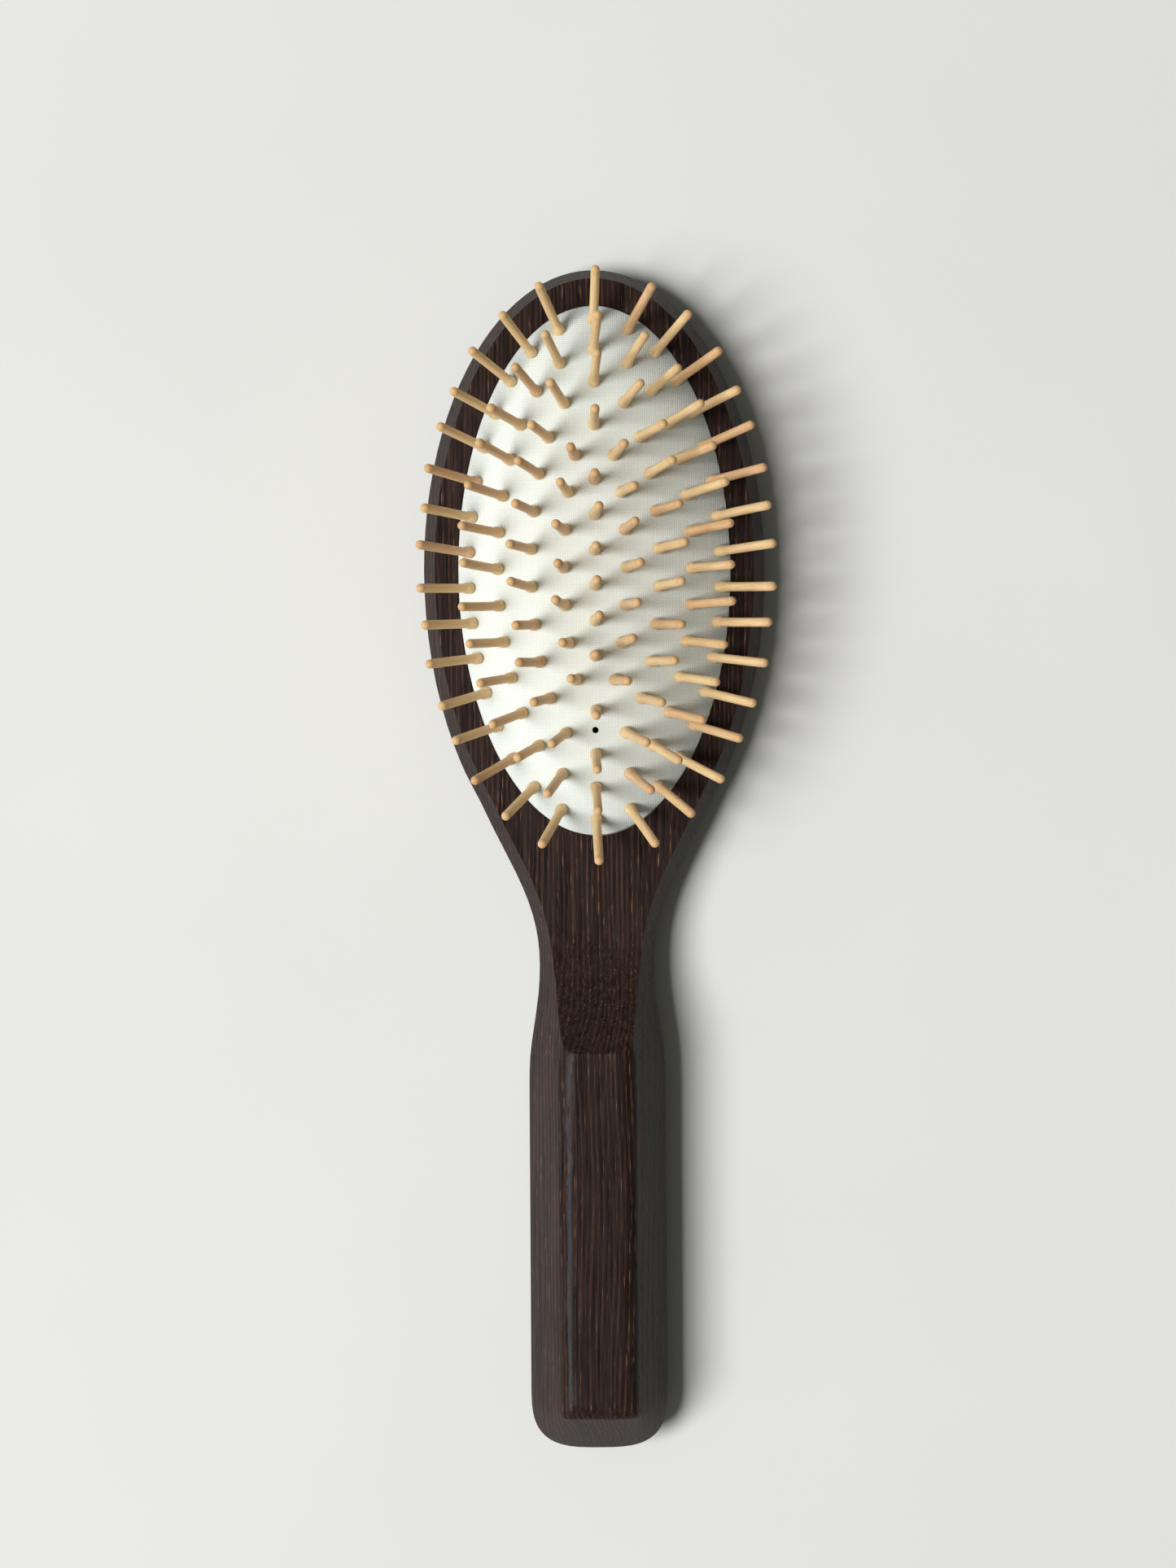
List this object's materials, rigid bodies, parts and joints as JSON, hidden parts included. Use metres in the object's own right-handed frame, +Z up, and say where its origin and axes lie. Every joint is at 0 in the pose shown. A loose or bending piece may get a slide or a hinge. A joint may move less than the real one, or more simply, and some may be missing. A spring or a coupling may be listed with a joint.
{
  "type": "oval cushion hair brush",
  "caption": "Oval hair brush with round-tipped wooden pins in a fabric-covered domed air cushion, set in a one-piece dark wooden body with a faceted handle.",
  "frame": {"origin": "bottom centre of the brush lying on its back", "axes": "+Z up out of the pin side, +Y from the handle towards the head"},
  "size_m": [0.067, 0.225, 0.038],
  "materials": {
    "dark_wood": "satin oil over open grain",
    "cover_fabric": "plain-weave cotton, matt",
    "rubber": "natural rubber, matt",
    "pin_wood": "smooth turned, unvarnished"
  },
  "bodies": {
    "body": {"brush_body": "dark_wood", "rubber_cushion": "rubber", "fabric_cover": "cover_fabric"},
    "outer_pins": {"outer_pin_pair_01": "pin_wood", "outer_pin_pair_02": "pin_wood", "outer_pin_pair_03": "pin_wood", "outer_pin_pair_04": "pin_wood", "outer_pin_pair_05": "pin_wood", "outer_pin_pair_06": "pin_wood", "outer_pin_pair_07": "pin_wood", "outer_pin_pair_08": "pin_wood", "outer_pin_pair_09": "pin_wood", "outer_pin_pair_10": "pin_wood", "outer_pin_pair_11": "pin_wood", "outer_pin_pair_12": "pin_wood", "outer_pin_pair_13": "pin_wood", "outer_pin_pair_14": "pin_wood", "outer_pin_pair_15": "pin_wood", "outer_pin_pair_16": "pin_wood", "outer_pin_pair_17": "pin_wood"},
    "second_pins": {"second_pin_pair_01": "pin_wood", "second_pin_pair_02": "pin_wood", "second_pin_pair_03": "pin_wood", "second_pin_pair_04": "pin_wood", "second_pin_pair_05": "pin_wood", "second_pin_pair_06": "pin_wood", "second_pin_pair_07": "pin_wood", "second_pin_pair_08": "pin_wood", "second_pin_pair_09": "pin_wood", "second_pin_pair_10": "pin_wood", "second_pin_pair_11": "pin_wood", "second_pin_pair_12": "pin_wood", "second_pin_pair_13": "pin_wood", "second_pin_pair_14": "pin_wood"},
    "third_pins": {"third_pin_pair_01": "pin_wood", "third_pin_pair_02": "pin_wood", "third_pin_pair_03": "pin_wood", "third_pin_pair_04": "pin_wood", "third_pin_pair_05": "pin_wood", "third_pin_pair_06": "pin_wood", "third_pin_pair_07": "pin_wood", "third_pin_pair_08": "pin_wood", "third_pin_pair_09": "pin_wood", "third_pin_pair_10": "pin_wood", "third_pin_pair_11": "pin_wood"},
    "inner_pins": {"inner_pin_pair_01": "pin_wood", "inner_pin_pair_02": "pin_wood", "inner_pin_pair_03": "pin_wood", "inner_pin_pair_04": "pin_wood", "inner_pin_pair_05": "pin_wood", "inner_pin_pair_06": "pin_wood", "inner_pin_pair_07": "pin_wood", "inner_pin_pair_08": "pin_wood"},
    "centre_pins": {"centre_pin_pair_01": "pin_wood", "centre_pin_pair_02": "pin_wood", "centre_pin_pair_03": "pin_wood"}
  },
  "joints": [
    {"name": "cushion_press", "type": "slide", "parent": "body", "child": "centre_pins", "axis": [0, 0, -1], "range_m": [0, 0.0045], "stiffness_N_per_m": 1200, "deforming": ["rubber_cushion", "fabric_cover"]},
    {"name": "outer_ring_press", "type": "slide", "parent": "body", "child": "outer_pins", "axis": [0, 0, -1], "range_m": [0, 0.00114], "stiffness_N_per_m": 1200},
    {"name": "second_ring_press", "type": "slide", "parent": "body", "child": "second_pins", "axis": [0, 0, -1], "range_m": [0, 0.00271], "stiffness_N_per_m": 1200},
    {"name": "third_ring_press", "type": "slide", "parent": "body", "child": "third_pins", "axis": [0, 0, -1], "range_m": [0, 0.00378], "stiffness_N_per_m": 1200},
    {"name": "inner_ring_press", "type": "slide", "parent": "body", "child": "inner_pins", "axis": [0, 0, -1], "range_m": [0, 0.00437], "stiffness_N_per_m": 1200}
  ],
  "couplings": [
    {"joint": "outer_ring_press", "follows": "cushion_press", "ratio": 0.242},
    {"joint": "second_ring_press", "follows": "cushion_press", "ratio": 0.592},
    {"joint": "third_ring_press", "follows": "cushion_press", "ratio": 0.829},
    {"joint": "inner_ring_press", "follows": "cushion_press", "ratio": 0.959}
  ]
}
